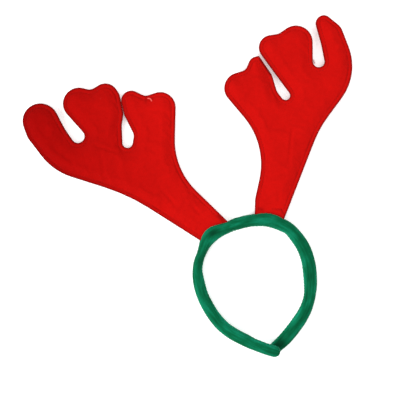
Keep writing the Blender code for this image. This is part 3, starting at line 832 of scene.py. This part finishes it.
def feltLayer(name, antler, which, facing, seed):
    outline = antlerOutline(antler)
    insets = felt["insets"]
    inner = insetRows(outline, insets)
    fill = hexFill(outline, felt["fillStep"], insets[-1] + felt["fillStep"] * 0.7)
    top, topFaces = flatMesh(outline, inner, fill)
    distance, station = edgeOf(top, outline)
    distance[:len(outline)] = 0.0
    thickness = feltThickness(antler, top, distance, station, seed)
    under, underFaces = flatMesh(outline, hexFill(outline, felt["backStep"],
                                                  felt["backStep"] * 0.6))
    gap = facing * felt["clearance"] / 2
    topMiddle = middleHeight(antler, top) + gap
    if facing < 0:
        thickness = np.minimum(thickness, topMiddle)
    topPlaces = np.column_stack([fromAntler(antler, top), topMiddle + facing * thickness])
    underPlaces = np.column_stack([fromAntler(antler, under), middleHeight(antler, under) + gap])
    solid = bmesh.new()
    upper = [solid.verts.new(p) for p in topPlaces]
    lower = [solid.verts.new(p) for p in underPlaces]
    for triangle in topFaces:
        solid.faces.new([upper[i] for i in triangle])
    for triangle in underFaces:
        solid.faces.new([lower[i] for i in triangle])
    count = len(outline)
    for i in range(count):
        j = (i + 1) % count
        solid.faces.new((upper[i], upper[j], lower[j], lower[i]))
    bmesh.ops.recalc_face_normals(solid, faces=solid.faces)
    mesh = bpy.data.meshes.new(name)
    solid.to_mesh(mesh)
    solid.free()
    layer = newPiece(name, mesh, redFelt)
    allDistance = np.concatenate([distance, np.zeros(len(under))])
    # sewn edge, base and inner face are held, the padded face is free
    held = (allDistance < felt["seamInset"] + 0.0008)
    held |= np.concatenate([top[:, 1] < felt["stillBelow"], np.ones(len(under), bool)])
    runCloth(layer, held.astype(float), felt["pressure"], felt["cap"], felt["looseness"],
             felt["bending"])
    points = places(layer)
    points[:, 2] = np.maximum(points[:, 2], 0.0)
    setPlaces(layer, points)
    layer.data.shade_smooth()
    layer.data.set_sharp_from_angle(angle=felt["sharpAngle"])
    underEdge, _ = edgeOf(under, outline)
    edges = np.concatenate([distance, underEdge])
    addAttribute(layer, "edgeDistance", edges)
    # painted shade on the front felt along the given lines
    paintedShade = np.zeros(len(edges))
    if facing > 0:
        for *ends, reach, amount in antler["shadeLines"]:
            away, _ = lineDistance(top, *antlerLine(antler, *ends))
            paintedShade[:len(top)] += amount * np.exp(-(away / reach * 1000) ** 2)
    addAttribute(layer, "paintedShade", paintedShade)
    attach(layer, "root")
    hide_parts("antler_" + which + ("_front" if facing > 0 else "_back"))
    print(" ", name, len(layer.data.polygons), "faces")
    return layer, outline


# Stitches
def seamPaths(antler, outline):
    points = outline + inwardOf(outline) * felt["seamInset"]
    distance, _ = edgeOf(points, outline)
    good = (distance > felt["seamInset"] * 0.97) & insideOf(points, outline)
    good &= points[:, 1] > felt["sewnFrom"]
    paths = [points[good]]
    if antler["crossSeam"]:
        paths.append(np.array([(across, along) for along, across in antler["crossSeam"]])
                     * antler["length"])
    return paths


def stitchRow(name, antler, layer, outline, facing):
    bpy.ops.object.select_all(action="DESELECT")
    bpy.ops.mesh.primitive_cylinder_add(vertices=6, radius=1.0, depth=1.0, end_fill_type="TRIFAN",
                                        rotation=(0, math.radians(90), 0))
    sample = bpy.context.active_object
    bpy.ops.object.transform_apply(location=False, rotation=True, scale=False)
    bpy.ops.object.mode_set(mode="EDIT")
    for share in stitch["cuts"]:
        bpy.ops.mesh.select_all(action="SELECT")
        bpy.ops.mesh.bisect(plane_co=(share, 0, 0), plane_no=(1, 0, 0))
    bpy.ops.object.mode_set(mode="OBJECT")
    shape = places(sample)
    faces = [list(face.vertices) for face in sample.data.polygons]
    bpy.data.objects.remove(sample, do_unlink=True)
    surface = surfaceOf(layer)
    # each stitch bows up in its middle and narrows to its ends
    bow = 1 - (np.abs(shape[:, 0]) / 0.5) ** 3
    width = 0.55 + 0.45 * bow
    vertices, allFaces = [], []
    for path in seamPaths(antler, outline):
        lengths = lengthsAlong(path)
        for s in np.arange(stitch["start"], lengths[-1] - stitch["length"], stitch["pitch"]):
            ends = np.stack([np.interp([s, s + stitch["length"]], lengths, path[:, k])
                             for k in (0, 1)], axis=1)
            if np.linalg.norm(ends[1] - ends[0]) < stitch["length"] * 0.8:
                continue
            (ax, ay), (bx, by) = fromAntler(antler, ends)
            hits = [surface.ray_cast(Vector((x, y, facing * 0.05)), Vector((0, 0, -facing)))[0]
                    for x, y in ((ax, ay), (bx, by))]
            if None in hits:
                continue
            a, b = hits
            run = b - a
            side = run.cross(Vector((0, 0, facing))).normalized()
            lift = side.cross(run).normalized()
            if lift.z * facing < 0:
                lift = -lift
            centre = (a + b) / 2
            base = len(vertices)
            for (x, y, z), w, h in zip(shape, width, bow):
                vertices.append(centre + run * x + side * (y * w * stitch["radius"])
                                + lift * (z * w * stitch["radius"]
                                          + h * stitch["radius"] * 1.1 - stitch["sink"]))
            allFaces += [[base + i for i in face] for face in faces]
    mesh = bpy.data.meshes.new(name)
    mesh.from_pydata([tuple(v) for v in vertices], [], allFaces)
    row = newPiece(name, mesh, redThread)
    makeActive(row)
    bpy.ops.object.mode_set(mode="EDIT")
    bpy.ops.mesh.select_all(action="SELECT")
    bpy.ops.mesh.normals_make_consistent(inside=False)
    bpy.ops.object.mode_set(mode="OBJECT")
    mesh.shade_smooth()
    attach(row, "root")
    print(" ", name, len(allFaces), "faces")


# Loose bits
def threadPiece(name, routes, radius, material):
    curve = bpy.data.curves.new(name, "CURVE")
    curve.dimensions = "3D"
    curve.bevel_depth = radius
    curve.bevel_resolution = 2
    curve.resolution_u = 5
    curve.use_fill_caps = True
    for route in routes:
        line = curve.splines.new("BEZIER")
        line.bezier_points.add(len(route) - 1)
        for point, place in zip(line.bezier_points, route):
            point.co = place
            point.handle_left_type = point.handle_right_type = "AUTO"
    shape = bpy.data.objects.new(name, curve)
    scene.collection.objects.link(shape)
    curve.materials.append(material)
    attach(shape, "root")


def looseBits(layer):
    surface = surfaceOf(layer)
    route = []
    for x, y, lift in lint["thread"]["route"]:
        spot = Vector((x / 1000, y / 1000, 0.05))
        hit = surface.ray_cast(spot, Vector((0, 0, -1)))[0]
        route.append(Vector((spot.x, spot.y, hit.z + lift / 1000)))
    threadPiece("loose_thread", [route], lint["thread"]["radius"], looseThread)
    draw = random.Random(5)
    wisp = lint["wisp"]
    routes = []
    for _ in range(wisp["count"]):
        x, y, z = (centre / 1000 + draw.gauss(0, spread / 1000)
                   for centre, spread in zip(wisp["place"], wisp["spread"]))
        turn, bend = draw.uniform(1.2, 2.4), draw.uniform(-0.8, 0.8)
        long = draw.uniform(wisp["shortest"], wisp["longest"])
        routes.append([(x + long * share * math.cos(turn + bend * share),
                        y + long * share * math.sin(turn + bend * share),
                        max(wisp["lowest"], z + wisp["wave"] * math.sin(3 * share + bend)))
                       for share in (-0.5, -0.17, 0.17, 0.5)])
    threadPiece("lint_wisp", routes, wisp["radius"], wispFibre)


# Build
bandCover()
print("band cover made")
layers = {}
for number, (which, antler) in enumerate(antlers.items()):
    for facing, word in ((1, "front"), (-1, "back")):
        layer, outline = feltLayer(f"antler_{which}_{word}_felt", antler, which, facing,
                                   3.1 * number + (0.7 if facing > 0 else 1.9))
        layers[which, word] = layer
        stitchRow(f"stitches_{which}_{word}", antler, layer, outline, facing)
print("antlers made")
looseBits(layers["left", "front"])
print("loose bits made")


# Floor, light and camera
bpy.ops.object.select_all(action="DESELECT")
bpy.ops.mesh.primitive_plane_add(size=6, location=(0, 0, -0.0001))
floor = bpy.context.active_object
floor.name = "floor"
floorPaint, _, floorShader = newMaterial(
    "paleFloor", roughness=0.9, sheen=0.0, sheenRoughness=0.5, sheenTint=(1, 1, 1), specular=0.1)
floorShader.inputs["Base Color"].default_value = (0.96, 0.96, 0.96, 1)
floorShader.inputs["Emission Color"].default_value = (1, 1, 1, 1)
floorShader.inputs["Emission Strength"].default_value = light["floorGlow"]
floor.data.materials.append(floorPaint)

middle = Vector((*camera["over"], camera["middleHeight"]))


def addLight(name, start, size, power):
    lamp = bpy.data.lights.new(name, "AREA")
    lamp.shape = "DISK"
    lamp.size = size
    lamp.energy = power
    holder = bpy.data.objects.new(name, lamp)
    scene.collection.objects.link(holder)
    holder.location = middle + Vector(start)
    holder.rotation_euler = (-Vector(start)).to_track_quat("-Z", "Y").to_euler()


addLight("key", light["keyFrom"], light["keySize"], light["keyPower"])
addLight("fill", light["fillFrom"], light["fillSize"], light["fillPower"])
world = bpy.data.worlds.new("room")
world.use_nodes = True
world.node_tree.nodes["Background"].inputs["Color"].default_value = (1, 1, 1, 1)
world.node_tree.nodes["Background"].inputs["Strength"].default_value = light["room"]
scene.world = world
scene.view_settings.view_transform = "Standard"
scene.view_settings.look = "None"

eye = bpy.data.cameras.new("camera")
eye.lens = camera["lens"]
eye.sensor_width = camera["sensor"]
eyeHolder = bpy.data.objects.new("camera", eye)
scene.collection.objects.link(eyeHolder)
away = camera["width"] * camera["lens"] / camera["sensor"]
eyeHolder.location = middle + Vector((0, 0, away))
eyeHolder.rotation_euler = (0, 0, camera["turn"])
scene.camera = eyeHolder
print("floor, light and camera made")
